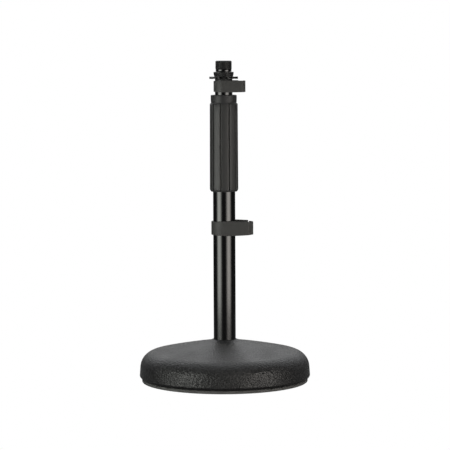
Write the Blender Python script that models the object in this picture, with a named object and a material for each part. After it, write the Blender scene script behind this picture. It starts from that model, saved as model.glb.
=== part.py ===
"""Desktop microphone stand: round cast base, telescoping tube with a twist clutch, two cable clips.

Frame: metres, +Z up, origin on the table under the middle of the base. Every turned piece shares
the Z axis; both cable clips point along +X. Heights below are in millimetres above the table.
"""

import math

import bmesh
import bpy

MM = 0.001
GAP = 0.3                      # clearance between neighbouring pieces

# Overall
STAND_HEIGHT = 306.4           # top of the stud, tube fully down
BASE_CORNER_R = 81.7           # widest radius, just above the rim
BASE_CORNER_Z = 5.6
BASE_RIM_R = 79.9
BASE_DRAFT = math.radians(4.1)
RIM_CHAMFER_WIDTH = 0.5
RIM_CHAMFER_HEIGHT = 1.4
SHOULDER_R = 15.5
SHOULDER_Z = 13.55             # height of the shoulder arc's centre
DOME_R = 833.0                 # large arc of the top
DOME_EDGE_SLOPE = math.radians(12.4)
CONE_FOOT_R = 20.0             # where the concave cone round the tube starts
CONE_RISE = 2.65
SHELL = 8.0                    # casting thickness
RIM_INNER_R = 71.5
WALL_ARC_R = 8.0               # inside of the shoulder
WALL_ARC_CENTRE = (RIM_INNER_R - 8.5, 13.0)
UNDER_MIDDLE_R = 45.0
BOSS_R = 17.0                  # boss underneath, which the bolt passes through
BOSS_FOOT_R = 20.0
BOSS_BOTTOM_Z = 22.0
BOSS_DRAFT = 1.0
BOSS_STEP = 2.5

# Foot ring
FOOT_R = 79.4
FOOT_INNER_R = 70.6
FOOT_HEIGHT = 2.9
FOOT_CHAMFER = 0.7
FOOT_LIP_TOP = 7.6
FOOT_LIP_R = 70.9
FOOT_LIP_INNER_R = 68.4

# Outer tube and what holds it down
TUBE_R = 10.55
TUBE_WALL = 1.2
TUBE_BOTTOM = 34.3
TUBE_TOP = 238.0
BOLT_R = 5.0                   # M10
BOLT_HEAD_Z = 11.0
BOLT_HEAD_HEIGHT = 6.4
BOLT_HEAD_FLATS = 17.0
BOLT_CHAMFER = 1.0
BOLT_TIP_BELOW_PLUG = 4.0
FLAT_WASHER_R = 10.5
FLAT_WASHER_THICKNESS = 1.6
SPRING_WASHER_R = 8.4
SPRING_WASHER_SLIT = math.radians(14)
PLUG_TOP = 56.0

# Inner tube
INNER_R = 8.3
INNER_WALL = 1.1
INNER_BOTTOM = 100.0
INNER_TOP = 289.3
BUSH_LENGTH = 16.0
BUSH_BELOW_TOP = 0.5

# Stud, 5/8 inch - 27
THREAD_R = 7.9
THREAD_ROOT_R = 7.32
THREAD_PITCH = 25.4 / 27
THREAD_FLANK = 1.25            # how steeply the flanks reach the crest
THREAD_SIDES = 24
THREAD_ROWS_PER_PITCH = 3
THREAD_CHAMFER = 0.7
SHANK_LENGTH = 12.0            # length inside the tube
CENTRE_MARK_R = 1.6
CENTRE_MARK_DEPTH = 1.2
RELIEF_R = 7.5
FLANGE_R = 9.55
FLANGE_BOTTOM = 291.7
FLANGE_TOP = 295.8
FLANGE_EDGE = 0.3
FLANGE_TAPER_WIDTH = 0.4       # the lower part narrows to the washer
FLANGE_TAPER_TOP = 294.6
FLANGE_STEP_R = 8.9            # step under the flange, which clamps the washer's flat ring
FLANGE_STEP_BOTTOM = 291.2
THREAD_START = 298.0

# Star washer
STAR_BOTTOM = 289.1
STAR_THICKNESS = 1.3
STAR_TEETH = 18
STAR_ROOT_R = 9.6
STAR_TIP_R = 13.75
STAR_TWIST = 0.5               # how far each tooth's two corners lean up and down
STAR_ROOT_WIDTH = 0.54         # share of the tooth pitch
STAR_TIP_WIDTH = 0.39

# Clutch
COLLAR_R = 12.4
COLLAR_TOP = 274.0
COLLAR_BOTTOM = 266.8
CORE_R = 11.9
CORE_BORE_R = 11.0
CORE_BOTTOM = 183.4
BUSHING_R = 10.7
BUSHING_BOTTOM = 226.0
BUSHING_TOP = 262.0
COLLET_BOTTOM = 247.3
COLLET_TOP = 266.1
COLLET_LOW_R = 9.7
COLLET_HEAD_R = 10.5
COLLET_SLOT = 1.4
COLLET_FINGER_TAPER = 0.25
COLLET_SLOTS = 6
COLLET_BAND = 4.0              # unslotted height at the collet's foot
BORE_CLEARANCE = 0.35          # round the sliding inner tube
THRUST_R = 10.6
THRUST_BOTTOM = 266.4
THRUST_TOP = 267.9
SLEEVE_BOTTOM = 182.3
SLEEVE_TOP = 266.4
SLEEVE_LOW_R = 13.75
SLEEVE_HIGH_R = 13.45
SLEEVE_BORE_R = 12.2
LANDS = 10
LAND_PHASE = math.radians(-103.2)   # middle of one groove, measured from +X
GROOVE_DEPTH = 0.75
GROOVE_FLOOR = math.radians(1.3)    # half width of the groove's floor
GROOVE_SHOULDER = math.radians(3.4)
SLEEVE_MIN_WALL = 0.3          # left under a groove
SLEEVE_FOOT_ROUND = 2.8
SLEEVE_FOOT_PULL = 0.75        # how much of a full quarter circle the foot pulls in
SLEEVE_CHAMFER = 1.5
SLEEVE_CHAMFER_SLOPE = 0.45

# Guide at the lower end of the inner tube
GUIDE_BOTTOM = 86.0
GUIDE_TOP = 96.0
GUIDE_BORE_R = 5.95
GUIDE_CHAMFER = 0.5
GUIDE_SLIT = math.radians(9)
NECK_R = 5.6
HEAD_BOTTOM = 82.0
HEAD_R = 7.6
HEAD_CHAMFER = 0.8
PLUG_DEPTH = 14.0              # how far the end plug reaches up the inner tube
PLUG_CHAMFER = 1.0

# Cable clips. reach and finger are how far the hooked arm and the other arm go in X, chamfer is
# the width of the hooked arm's cut corner, and hook is the outer Y of its lip, which points back
# towards the tube as far as lip.
LOWER_CLIP = dict(bore=TUBE_R + GAP, wall=1.5, reach=27.55, finger=23.0, chamfer=4.4, hook=3.6,
                  lip=23.4, bottom=140.5, top=154.35)
UPPER_CLIP = dict(bore=INNER_R + GAP, wall=1.0, reach=20.6, finger=14.0, chamfer=2.7, hook=2.2,
                  lip=18.0, bottom=276.5, top=287.8)
CLIP_GRIP_ANGLE = math.radians(50)   # each nub holds the tube from this angle on
CLIP_NUB_LENGTH = 3.2
CLIP_RING_STEPS = 12

SEGMENTS = 32
BASE_SEGMENTS = 48


def clear_scene():
    for obj in list(bpy.data.objects):
        bpy.data.objects.remove(obj, do_unlink=True)


def material(name, colour, roughness, metallic=0.0):
    mat = bpy.data.materials.new(name)
    mat.use_nodes = True
    shader = mat.node_tree.nodes["Principled BSDF"]
    shader.inputs["Base Color"].default_value = (*colour, 1.0)
    shader.inputs["Roughness"].default_value = roughness
    shader.inputs["Metallic"].default_value = metallic
    return mat


def add_object(name, bm, mat, smooth_angle=35.0):
    """Closes off a bmesh in millimetres as one object in metres."""
    bmesh.ops.recalc_face_normals(bm, faces=bm.faces)
    if bm.calc_volume(signed=True) < 0:
        bmesh.ops.reverse_faces(bm, faces=bm.faces)
    bmesh.ops.scale(bm, vec=(MM, MM, MM), verts=bm.verts)
    mesh = bpy.data.meshes.new(name)
    bm.to_mesh(mesh)
    bm.free()
    mesh.materials.append(mat)
    mesh.shade_smooth()
    mesh.set_sharp_from_angle(angle=math.radians(smooth_angle))
    obj = bpy.data.objects.new(name, mesh)
    bpy.context.scene.collection.objects.link(obj)
    return obj


def arc(centre, radius, start, end, steps):
    """Points (r, z) along an arc, angles in radians from +r."""
    return [
        (centre[0] + radius * math.cos(start + (end - start) * i / steps),
         centre[1] + radius * math.sin(start + (end - start) * i / steps))
        for i in range(steps + 1)
    ]


def on_circle(radius, z, angle):
    return (radius * math.cos(angle), radius * math.sin(angle), z)


def turned(name, outline, mat, segments=SEGMENTS):
    """Turns a closed outline of (r, z) points about Z; points with r = 0 become poles."""
    bm = bmesh.new()
    rings = []
    for radius, z in outline:
        if radius == 0:
            rings.append([bm.verts.new((0, 0, z))])
        else:
            rings.append([bm.verts.new(on_circle(radius, z, math.tau * i / segments))
                          for i in range(segments)])
    for ring, following in zip(rings, rings[1:] + rings[:1]):
        if len(ring) == 1 and len(following) == 1:
            continue
        for i in range(segments):
            j = (i + 1) % segments
            if len(ring) == 1:
                corners = [ring[0], following[j], following[i]]
            elif len(following) == 1:
                corners = [ring[i], ring[j], following[0]]
            else:
                corners = [ring[i], ring[j], following[j], following[i]]
            bm.faces.new(corners)
    return add_object(name, bm, mat)


def turned_split(name, outline, mat, slit, segments=SEGMENTS):
    """Turns a closed outline about Z, leaving a slit of the given angle at -X."""
    bm = bmesh.new()
    start = -math.pi + slit / 2
    sweep = math.tau - slit
    rings = [
        [bm.verts.new(on_circle(radius, z, start + sweep * i / segments)) for radius, z in outline]
        for i in range(segments + 1)
    ]
    count = len(outline)
    for ring, following in zip(rings, rings[1:]):
        for i in range(count):
            j = (i + 1) % count
            bm.faces.new([ring[i], ring[j], following[j], following[i]])
    bm.faces.new(rings[0])
    bm.faces.new(rings[-1])
    return add_object(name, bm, mat)


def add_ring(bm, sides, radius_at, z):
    """One ring of vertices whose radius may depend on the angle."""
    angles = [math.tau * i / sides for i in range(sides)]
    return [bm.verts.new(on_circle(radius_at(angle), z, angle)) for angle in angles]


def skin(bm, rings):
    """Bridges each ring of vertices to the next one with quads."""
    for ring, following in zip(rings, rings[1:]):
        count = len(ring)
        for i in range(count):
            j = (i + 1) % count
            bm.faces.new([ring[i], ring[j], following[j], following[i]])


def tube(name, outer, inner, bottom, top, mat, bevel=0.3):
    outline = [(inner, bottom), (outer - bevel, bottom), (outer, bottom + bevel),
               (outer, top - bevel), (outer - bevel, top), (inner, top)]
    return turned(name, outline, mat)


def cutter(name, size, location, turn=0.0):
    """A wire box, in millimetres, that slots another piece."""
    bm = bmesh.new()
    bmesh.ops.create_cube(bm, size=1.0)
    bmesh.ops.scale(bm, vec=[s * MM for s in size], verts=bm.verts)
    mesh = bpy.data.meshes.new(name)
    bm.to_mesh(mesh)
    bm.free()
    obj = bpy.data.objects.new(name, mesh)
    obj.location = [v * MM for v in location]
    obj.rotation_euler = (0, 0, turn)
    obj.hide_render = True
    obj.display_type = "WIRE"
    bpy.context.scene.collection.objects.link(obj)
    return obj


def cut(obj, tool):
    modifier = obj.modifiers.new(tool.name, "BOOLEAN")
    modifier.operation = "DIFFERENCE"
    modifier.solver = "EXACT"
    modifier.object = tool


# Base


def shoulder_centre():
    """Centre of the shoulder arc, tangent to the drafted side."""
    side_r = BASE_CORNER_R - SHOULDER_R / math.cos(BASE_DRAFT)
    return side_r - math.tan(BASE_DRAFT) * (SHOULDER_Z - BASE_CORNER_Z), SHOULDER_Z


def shoulder_start():
    """Where the shoulder arc meets the large arc of the top."""
    centre_r, centre_z = shoulder_centre()
    return (centre_r + SHOULDER_R * math.sin(DOME_EDGE_SLOPE),
            centre_z + SHOULDER_R * math.cos(DOME_EDGE_SLOPE))


def dome_height(r):
    """Height of the base's top at radius r, on the large arc that meets the shoulder."""
    edge_r, edge_z = shoulder_start()
    centre_r = edge_r - DOME_R * math.sin(DOME_EDGE_SLOPE)
    centre_z = edge_z - DOME_R * math.cos(DOME_EDGE_SLOPE)
    return centre_z + math.sqrt(DOME_R ** 2 - (r - centre_r) ** 2)


def cone_height(r, top_r):
    """Height of the concave cone that climbs from the dome to the tube."""
    share = (CONE_FOOT_R - r) / (CONE_FOOT_R - top_r)
    return dome_height(CONE_FOOT_R) + CONE_RISE * share ** 1.5


def base_outline():
    """Section of the casting: over the top, down the side, then back along the underside."""
    top_angle = math.pi / 2 - DOME_EDGE_SLOPE
    edge_r = shoulder_start()[0]
    recess_r = TUBE_R + GAP
    recess_edge = 0.4
    cone_top_r = recess_r + recess_edge
    cone_radii = [cone_top_r + (CONE_FOOT_R - cone_top_r) * i / 3 for i in range(3)]
    dome_radii = [CONE_FOOT_R + (edge_r - CONE_FOOT_R) * i / 3 for i in range(3)]
    cone = [(r, cone_height(r, cone_top_r)) for r in cone_radii]
    dome = [(r, dome_height(r)) for r in dome_radii]
    shoulder = arc(shoulder_centre(), SHOULDER_R, top_angle, BASE_DRAFT, 5)
    rim_z = FOOT_HEIGHT + GAP
    rim = [(BASE_CORNER_R, BASE_CORNER_Z),
           (BASE_CORNER_R - RIM_CHAMFER_WIDTH, BASE_CORNER_Z - RIM_CHAMFER_HEIGHT),
           (BASE_RIM_R, rim_z), (RIM_INNER_R, rim_z)]
    wall = arc(WALL_ARC_CENTRE, WALL_ARC_R, 0, top_angle, 3)
    under = [(r, dome_height(r) - SHELL) for r in (UNDER_MIDDLE_R, BOSS_FOOT_R)]
    boss = [(BOSS_R, under[-1][1] - BOSS_STEP), (BOSS_R - BOSS_DRAFT, BOSS_BOTTOM_Z),
            (BOLT_R + GAP, BOSS_BOTTOM_Z), (BOLT_R + GAP, TUBE_BOTTOM - GAP),
            (recess_r, TUBE_BOTTOM - GAP), (recess_r, cone[0][1] - recess_edge)]
    return cone + dome + shoulder + rim + wall + under + boss


def make_base(iron, foot_rubber, steel):
    turned("base_casting", base_outline(), iron, BASE_SEGMENTS)
    make_foot_ring(foot_rubber)
    washer_top = BOSS_BOTTOM_Z - GAP
    washer_bottom = washer_top - FLAT_WASHER_THICKNESS
    tube("flat_washer", FLAT_WASHER_R, BOLT_R + GAP, washer_bottom, washer_top, steel, 0.2)
    spring_top = washer_bottom - GAP
    spring_bottom = BOLT_HEAD_Z + BOLT_HEAD_HEIGHT + GAP
    spring = [(BOLT_R + GAP, spring_bottom), (SPRING_WASHER_R, spring_bottom),
              (SPRING_WASHER_R, spring_top), (BOLT_R + GAP, spring_top)]
    turned_split("spring_washer", spring, steel, SPRING_WASHER_SLIT)
    make_bolt(steel)


def make_foot_ring(foot_rubber):
    """Ring that the stand rests on, with a lip pressed up inside the casting's rim."""
    section = [(FOOT_INNER_R, 0), (FOOT_R - FOOT_CHAMFER, 0), (FOOT_R, FOOT_CHAMFER),
               (FOOT_R, FOOT_HEIGHT), (FOOT_LIP_R, FOOT_HEIGHT),
               (FOOT_LIP_R, FOOT_LIP_TOP - FOOT_CHAMFER), (FOOT_LIP_R - FOOT_CHAMFER, FOOT_LIP_TOP),
               (FOOT_LIP_INNER_R, FOOT_LIP_TOP), (FOOT_LIP_INNER_R, FOOT_HEIGHT)]
    turned("foot_ring", section, foot_rubber, BASE_SEGMENTS)


def hex_reach(corner_r, angle):
    """Distance from the axis to the side of a hexagon with the given corner radius."""
    from_flat = angle % (math.pi / 3) - math.pi / 6
    return corner_r * math.cos(math.pi / 6) / math.cos(from_flat)


def make_bolt(steel):
    """Hexagon-head bolt, head down, through the base's boss into the tube's foot plug."""
    corner_r = BOLT_HEAD_FLATS / 2 / math.cos(math.pi / 6)
    head_top = BOLT_HEAD_Z + BOLT_HEAD_HEIGHT
    tip = PLUG_TOP - BOLT_TIP_BELOW_PLUG
    sides = 24
    head = [(corner_r - BOLT_CHAMFER, BOLT_HEAD_Z), (corner_r, BOLT_HEAD_Z + BOLT_CHAMFER),
            (corner_r, head_top)]
    shank = [(BOLT_R, head_top), (BOLT_R, tip - BOLT_CHAMFER), (BOLT_R - BOLT_CHAMFER, tip)]
    bm = bmesh.new()
    rings = [add_ring(bm, sides, lambda angle, r=r: hex_reach(r, angle), z) for r, z in head]
    rings += [add_ring(bm, sides, lambda angle, r=r: r, z) for r, z in shank]
    skin(bm, rings)
    bm.faces.new(rings[0])
    bm.faces.new(rings[-1])
    add_object("base_bolt", bm, steel)


# Tubes


def make_outer_tube(tube_black, steel):
    tube("outer_tube", TUBE_R, TUBE_R - TUBE_WALL, TUBE_BOTTOM, TUBE_TOP, tube_black)
    plug_r = TUBE_R - TUBE_WALL - GAP
    tube("foot_plug", plug_r, BOLT_R + GAP, TUBE_BOTTOM, PLUG_TOP, steel, 0.6)


def make_inner_tube(tube_black, steel, nylon):
    bore = INNER_R - INNER_WALL
    tube("inner_tube", INNER_R, bore, INNER_BOTTOM, INNER_TOP, tube_black)
    bush_top = INNER_TOP - BUSH_BELOW_TOP
    tube("stud_bush", bore - GAP, BOLT_R + GAP, bush_top - BUSH_LENGTH, bush_top, steel)
    make_end_plug(nylon, bore - GAP)
    guide_r = TUBE_R - TUBE_WALL - BORE_CLEARANCE
    guide = [(GUIDE_BORE_R, GUIDE_BOTTOM), (guide_r - GUIDE_CHAMFER, GUIDE_BOTTOM),
             (guide_r, GUIDE_BOTTOM + GUIDE_CHAMFER), (guide_r, GUIDE_TOP - GUIDE_CHAMFER),
             (guide_r - GUIDE_CHAMFER, GUIDE_TOP), (GUIDE_BORE_R, GUIDE_TOP)]
    turned_split("guide_ring", guide, nylon, GUIDE_SLIT)


def make_end_plug(nylon, plug_r):
    """Plug in the inner tube's lower end, with a neck and a head that keep the guide ring on."""
    plug_top = INNER_BOTTOM + PLUG_DEPTH
    outline = [(0, HEAD_BOTTOM), (HEAD_R - HEAD_CHAMFER, HEAD_BOTTOM), (HEAD_R, HEAD_BOTTOM + HEAD_CHAMFER),
               (HEAD_R, GUIDE_BOTTOM - GAP), (NECK_R, GUIDE_BOTTOM - GAP), (NECK_R, GUIDE_TOP + GAP),
               (INNER_R, GUIDE_TOP + GAP), (INNER_R, INNER_BOTTOM - GAP), (plug_r, INNER_BOTTOM - GAP),
               (plug_r, plug_top - PLUG_CHAMFER), (plug_r - PLUG_CHAMFER, plug_top), (0, plug_top)]
    turned("end_plug", outline, nylon)


def make_stud(stud_black):
    """Stud: shank, flange and relief are turned; above them the radius follows a helix."""
    shank_bottom = INNER_TOP - SHANK_LENGTH
    thread_top = STAND_HEIGHT - THREAD_CHAMFER
    threaded = thread_top - THREAD_START
    below_thread = [(BOLT_R - BOLT_CHAMFER, shank_bottom), (BOLT_R, shank_bottom + BOLT_CHAMFER),
                    (BOLT_R, FLANGE_STEP_BOTTOM), (FLANGE_STEP_R, FLANGE_STEP_BOTTOM),
                    (FLANGE_STEP_R, FLANGE_BOTTOM), (FLANGE_R - FLANGE_TAPER_WIDTH, FLANGE_BOTTOM),
                    (FLANGE_R, FLANGE_TAPER_TOP), (FLANGE_R, FLANGE_TOP - FLANGE_EDGE),
                    (FLANGE_R - FLANGE_EDGE, FLANGE_TOP), (RELIEF_R, FLANGE_TOP),
                    (RELIEF_R, THREAD_START)]
    above_thread = [(THREAD_R - 0.4, thread_top), (THREAD_ROOT_R - 0.4, STAND_HEIGHT),
                    (CENTRE_MARK_R, STAND_HEIGHT)]
    bm = bmesh.new()
    rings = [add_ring(bm, THREAD_SIDES, lambda angle, r=r: r, z) for r, z in below_thread]
    rows = round(threaded / THREAD_PITCH * THREAD_ROWS_PER_PITCH)
    for row in range(1, rows):
        z = THREAD_START + threaded * row / rows
        rings.append(add_ring(bm, THREAD_SIDES, lambda angle, z=z: thread_radius(angle, z), z))
    rings += [add_ring(bm, THREAD_SIDES, lambda angle, r=r: r, z) for r, z in above_thread]
    skin(bm, rings)
    bm.faces.new(rings[0])
    tip = bm.verts.new((0, 0, STAND_HEIGHT - CENTRE_MARK_DEPTH))
    for i in range(THREAD_SIDES):
        bm.faces.new([rings[-1][i], rings[-1][(i + 1) % THREAD_SIDES], tip])
    add_object("thread_stud", bm, stud_black, 50.0)


def thread_radius(angle, z):
    """Radius of the right-hand 27-per-inch thread at one angle and height."""
    phase = ((z - THREAD_START) / THREAD_PITCH - angle / math.tau) % 1.0
    height = 1.0 - abs(2.0 * phase - 1.0)
    return THREAD_ROOT_R + (THREAD_R - THREAD_ROOT_R) * min(1.0, height * THREAD_FLANK)


def make_star_washer(steel):
    """External-tooth lock washer: each tooth is twisted about its own radius."""
    bm = bmesh.new()
    low = STAR_BOTTOM + STAR_TWIST
    levels = {"low": low, "high": low + STAR_THICKNESS}
    pitch = math.tau / STAR_TEETH
    inner, root, tips = {}, {}, {}
    for level, z in levels.items():
        for i in range(STAR_TEETH):
            for side in (-1, 1):
                key = (level, i, side)
                root_angle = pitch * (i + 0.5 + side * STAR_ROOT_WIDTH / 2)
                tip_angle = pitch * (i + 0.5 + side * STAR_TIP_WIDTH / 2)
                inner[key] = bm.verts.new(on_circle(BOLT_R + GAP, z, root_angle))
                root[key] = bm.verts.new(on_circle(STAR_ROOT_R, z, root_angle))
                tips[key] = bm.verts.new(on_circle(STAR_TIP_R, z - side * STAR_TWIST, tip_angle))
    for i in range(STAR_TEETH):
        left, right, following = (i, -1), (i, 1), ((i + 1) % STAR_TEETH, -1)
        panels = [(inner, left, root, right), (inner, right, root, following), (root, left, tips, right)]
        for level in levels:
            for near, p, far, q in panels:
                bm.faces.new([near[level, *p], far[level, *p], far[level, *q], near[level, *q]])
        walls = [(inner, left, inner, right), (inner, right, inner, following),
                 (root, right, root, following), (root, left, tips, left), (tips, left, tips, right),
                 (tips, right, root, right)]
        for first, p, second, q in walls:
            bm.faces.new([first["low", *p], second["low", *q], second["high", *q], first["high", *p]])
    bmesh.ops.triangulate(bm, faces=bm.faces)
    add_object("star_washer", bm, steel, 20.0)


# Clutch


def make_clutch(nylon, grip_plastic, grip_rubber):
    make_bushing(nylon)
    make_collet(nylon)
    thrust_bore = INNER_R + BORE_CLEARANCE + 0.1
    tube("thrust_ring", THRUST_R, thrust_bore, THRUST_BOTTOM, THRUST_TOP, nylon, 0.2)
    make_core(grip_plastic)
    make_sleeve(grip_rubber)


def make_bushing(nylon):
    """Bushing pressed into the outer tube's top, with a taper that the collet closes into."""
    running = INNER_R + BORE_CLEARANCE
    spigot_r = TUBE_R - TUBE_WALL - GAP
    edge = 0.6
    outline = [(running, BUSHING_BOTTOM), (spigot_r, BUSHING_BOTTOM), (spigot_r, TUBE_TOP + GAP),
               (BUSHING_R, TUBE_TOP + GAP), (BUSHING_R, BUSHING_TOP - edge),
               (BUSHING_R - edge, BUSHING_TOP),
               (COLLET_LOW_R + COLLET_FINGER_TAPER + GAP, BUSHING_TOP),
               (COLLET_LOW_R + GAP, COLLET_BOTTOM - GAP), (running, COLLET_BOTTOM - GAP)]
    turned("clutch_bushing", outline, nylon)


def make_core(grip_plastic):
    """Screwed cap of the clutch: a thin skirt under the sleeve and a collar above it."""
    collar_bore = INNER_R + BORE_CLEARANCE + 0.1
    edge = 0.6
    skirt_edge = 0.3
    outline = [(CORE_BORE_R, CORE_BOTTOM), (CORE_R - skirt_edge, CORE_BOTTOM),
               (CORE_R, CORE_BOTTOM + skirt_edge), (CORE_R, COLLAR_BOTTOM),
               (COLLAR_R, COLLAR_BOTTOM + skirt_edge), (COLLAR_R, COLLAR_TOP - edge),
               (COLLAR_R - edge, COLLAR_TOP), (collar_bore + edge, COLLAR_TOP),
               (collar_bore, COLLAR_TOP - edge), (collar_bore, THRUST_TOP + GAP),
               (CORE_BORE_R, THRUST_TOP + GAP)]
    turned("grip_core", outline, grip_plastic)


def make_collet(nylon):
    """Slotted taper that closes on the inner tube when the grip is screwed down."""
    bore = INNER_R + GAP
    finger_r = COLLET_LOW_R + COLLET_FINGER_TAPER
    edge = 0.6
    outline = [(bore, COLLET_BOTTOM), (COLLET_LOW_R, COLLET_BOTTOM), (finger_r, BUSHING_TOP),
               (finger_r, BUSHING_TOP + GAP), (COLLET_HEAD_R, BUSHING_TOP + GAP + edge),
               (COLLET_HEAD_R, COLLET_TOP - edge), (COLLET_HEAD_R - edge, COLLET_TOP), (bore, COLLET_TOP)]
    collet = turned("collet", outline, nylon, 36)
    slot_bottom = COLLET_BOTTOM + COLLET_BAND
    slot_height = COLLET_TOP + 1.0 - slot_bottom
    size = (4 * COLLET_HEAD_R, COLLET_SLOT, slot_height)
    centre = (0, 0, slot_bottom + slot_height / 2)
    for i in range(COLLET_SLOTS // 2):
        turn = math.tau * (i + 0.5) / COLLET_SLOTS
        cut(collet, cutter(f"collet_slot_{i + 1}", size, centre, turn))


def sleeve_radius(z):
    """Outer radius of the sleeve's lands: a slight taper, a round foot and a chamfered head."""
    share = (z - SLEEVE_BOTTOM) / (SLEEVE_TOP - SLEEVE_BOTTOM)
    radius = SLEEVE_LOW_R + (SLEEVE_HIGH_R - SLEEVE_LOW_R) * share
    below_round = max(0.0, SLEEVE_FOOT_ROUND - (z - SLEEVE_BOTTOM))
    radius -= SLEEVE_FOOT_PULL * (SLEEVE_FOOT_ROUND - math.sqrt(SLEEVE_FOOT_ROUND ** 2 - below_round ** 2))
    above_chamfer = max(0.0, SLEEVE_CHAMFER - (SLEEVE_TOP - z))
    return radius - SLEEVE_CHAMFER_SLOPE * above_chamfer


def groove_share(angle):
    """1 in the middle of a groove between two lands, 0 on a land."""
    pitch = math.tau / LANDS
    away = abs((angle - LAND_PHASE + pitch / 2) % pitch - pitch / 2)
    return max(0.0, min(1.0, (GROOVE_SHOULDER - away) / (GROOVE_SHOULDER - GROOVE_FLOOR)))


def make_sleeve(grip_rubber):
    """Soft sleeve over the clutch, with wide flat lands between narrow grooves."""
    pitch = math.tau / LANDS
    half = [0.0, GROOVE_FLOOR, GROOVE_SHOULDER, 0.3 * pitch, 0.5 * pitch]
    offsets = half + [pitch - step for step in reversed(half[1:-1])]
    angles = [LAND_PHASE + pitch * land + offset for land in range(LANDS) for offset in offsets]
    above_foot = [0.0, 0.5, 1.4, SLEEVE_FOOT_ROUND]
    heights = [SLEEVE_BOTTOM + rise for rise in above_foot] + [SLEEVE_TOP - SLEEVE_CHAMFER, SLEEVE_TOP]
    bm = bmesh.new()
    outer = []
    for z in heights:
        radius = sleeve_radius(z)
        depth = min(GROOVE_DEPTH, radius - SLEEVE_BORE_R - SLEEVE_MIN_WALL)
        outer.append([bm.verts.new(on_circle(radius - depth * groove_share(a), z, a)) for a in angles])
    inner = [[bm.verts.new(on_circle(SLEEVE_BORE_R, z, a)) for a in angles]
             for z in (SLEEVE_TOP, SLEEVE_BOTTOM)]
    skin(bm, outer + inner + outer[:1])
    add_object("grip_sleeve", bm, grip_rubber, 30.0)


# Cable clips


def clip_outline(clip):
    """Plan of a clip: a C round the tube, a straight arm to a hooked end, a finger behind."""
    wall, bore = clip["wall"], clip["bore"]
    outer = bore + wall
    reach, finger, chamfer, hook = clip["reach"], clip["finger"], clip["chamfer"], clip["hook"]
    nub_x = bore * math.cos(CLIP_GRIP_ANGLE)
    nub_y = bore * math.sin(CLIP_GRIP_ANGLE)
    nub_end = nub_x + CLIP_NUB_LENGTH
    tip = wall / 2
    inner_chamfer = chamfer - wall * (2 - math.sqrt(2))
    outline = arc((0, 0), outer, math.pi / 2, 3 * math.pi / 2, CLIP_RING_STEPS)
    outline += [(reach - chamfer, -outer), (reach, chamfer - outer), (reach, hook - tip), (reach - tip, hook)]
    outline += arc((clip["lip"] + tip, hook - tip), tip, math.pi / 2, 3 * math.pi / 2, 2)
    outline += [(reach - wall, hook - wall), (reach - wall, inner_chamfer - bore),
                (reach - wall - inner_chamfer, -bore)]
    outline += [(nub_end, -bore), (nub_x, -nub_y)]
    outline += arc((0, 0), bore, -CLIP_GRIP_ANGLE, -math.tau + CLIP_GRIP_ANGLE, CLIP_RING_STEPS + 4)[1:]
    outline += [(nub_end, bore)]
    outline += arc((finger - tip, outer - tip), tip, -math.pi / 2, math.pi / 2, 2)
    return outline


def make_clip(name, clip, plastic):
    outline = clip_outline(clip)
    bm = bmesh.new()
    rings = [[bm.verts.new((x, y, z)) for x, y in outline] for z in (clip["bottom"], clip["top"])]
    skin(bm, rings)
    bm.faces.new(rings[0])
    bm.faces.new(rings[1])
    add_object(name, bm, plastic, 30.0)


def main():
    clear_scene()
    iron = material("textured_black_iron", (0.028, 0.028, 0.030), 0.55)
    foot_rubber = material("foot_rubber", (0.05, 0.05, 0.05), 0.8)
    tube_black = material("gloss_black_tube", (0.008, 0.008, 0.009), 0.22)
    stud_black = material("black_oxide_steel", (0.012, 0.012, 0.012), 0.35, 0.6)
    steel = material("zinc_plated_steel", (0.55, 0.55, 0.52), 0.35, 1.0)
    nylon = material("natural_nylon", (0.72, 0.70, 0.64), 0.5)
    grip_plastic = material("grip_plastic", (0.035, 0.035, 0.036), 0.45)
    grip_rubber = material("grip_rubber", (0.04, 0.04, 0.04), 0.6)
    clip_plastic = material("clip_plastic", (0.045, 0.045, 0.043), 0.5)
    make_base(iron, foot_rubber, steel)
    make_outer_tube(tube_black, steel)
    make_inner_tube(tube_black, steel, nylon)
    make_stud(stud_black)
    make_star_washer(stud_black)
    make_clutch(nylon, grip_plastic, grip_rubber)
    make_clip("lower_cable_clip", LOWER_CLIP, clip_plastic)
    make_clip("upper_cable_clip", UPPER_CLIP, clip_plastic)


main()
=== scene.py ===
"""Looks of the desktop microphone stand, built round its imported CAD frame.

Outlines are lists of (radius, height) in millimetres; meshes are scaled to metres as they are made.
"""

import math

import bmesh
import bpy
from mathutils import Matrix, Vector
from mathutils.geometry import tessellate_polygon


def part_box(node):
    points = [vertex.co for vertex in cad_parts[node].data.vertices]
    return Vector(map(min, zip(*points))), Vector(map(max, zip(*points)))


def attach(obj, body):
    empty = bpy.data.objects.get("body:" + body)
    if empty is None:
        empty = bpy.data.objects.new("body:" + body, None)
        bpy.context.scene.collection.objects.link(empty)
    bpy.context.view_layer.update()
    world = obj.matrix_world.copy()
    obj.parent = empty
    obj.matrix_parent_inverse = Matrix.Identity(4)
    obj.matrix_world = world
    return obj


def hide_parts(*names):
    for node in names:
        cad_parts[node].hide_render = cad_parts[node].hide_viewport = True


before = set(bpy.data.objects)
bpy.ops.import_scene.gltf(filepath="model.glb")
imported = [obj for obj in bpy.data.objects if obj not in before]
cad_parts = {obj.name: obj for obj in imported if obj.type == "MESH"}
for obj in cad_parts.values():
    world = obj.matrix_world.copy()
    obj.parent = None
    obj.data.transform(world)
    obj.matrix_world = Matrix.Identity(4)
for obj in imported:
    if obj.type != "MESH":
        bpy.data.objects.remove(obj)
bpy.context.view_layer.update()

MM = 0.001

# Camera
CAMERA_DISTANCE = 2.0
CAMERA_HEIGHT = 0.328
AIM = (0.0007, 0.0, 0.150)
CAMERA_LENS = 168.3
CAMERA_ROLL = math.radians(-0.25)

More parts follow.
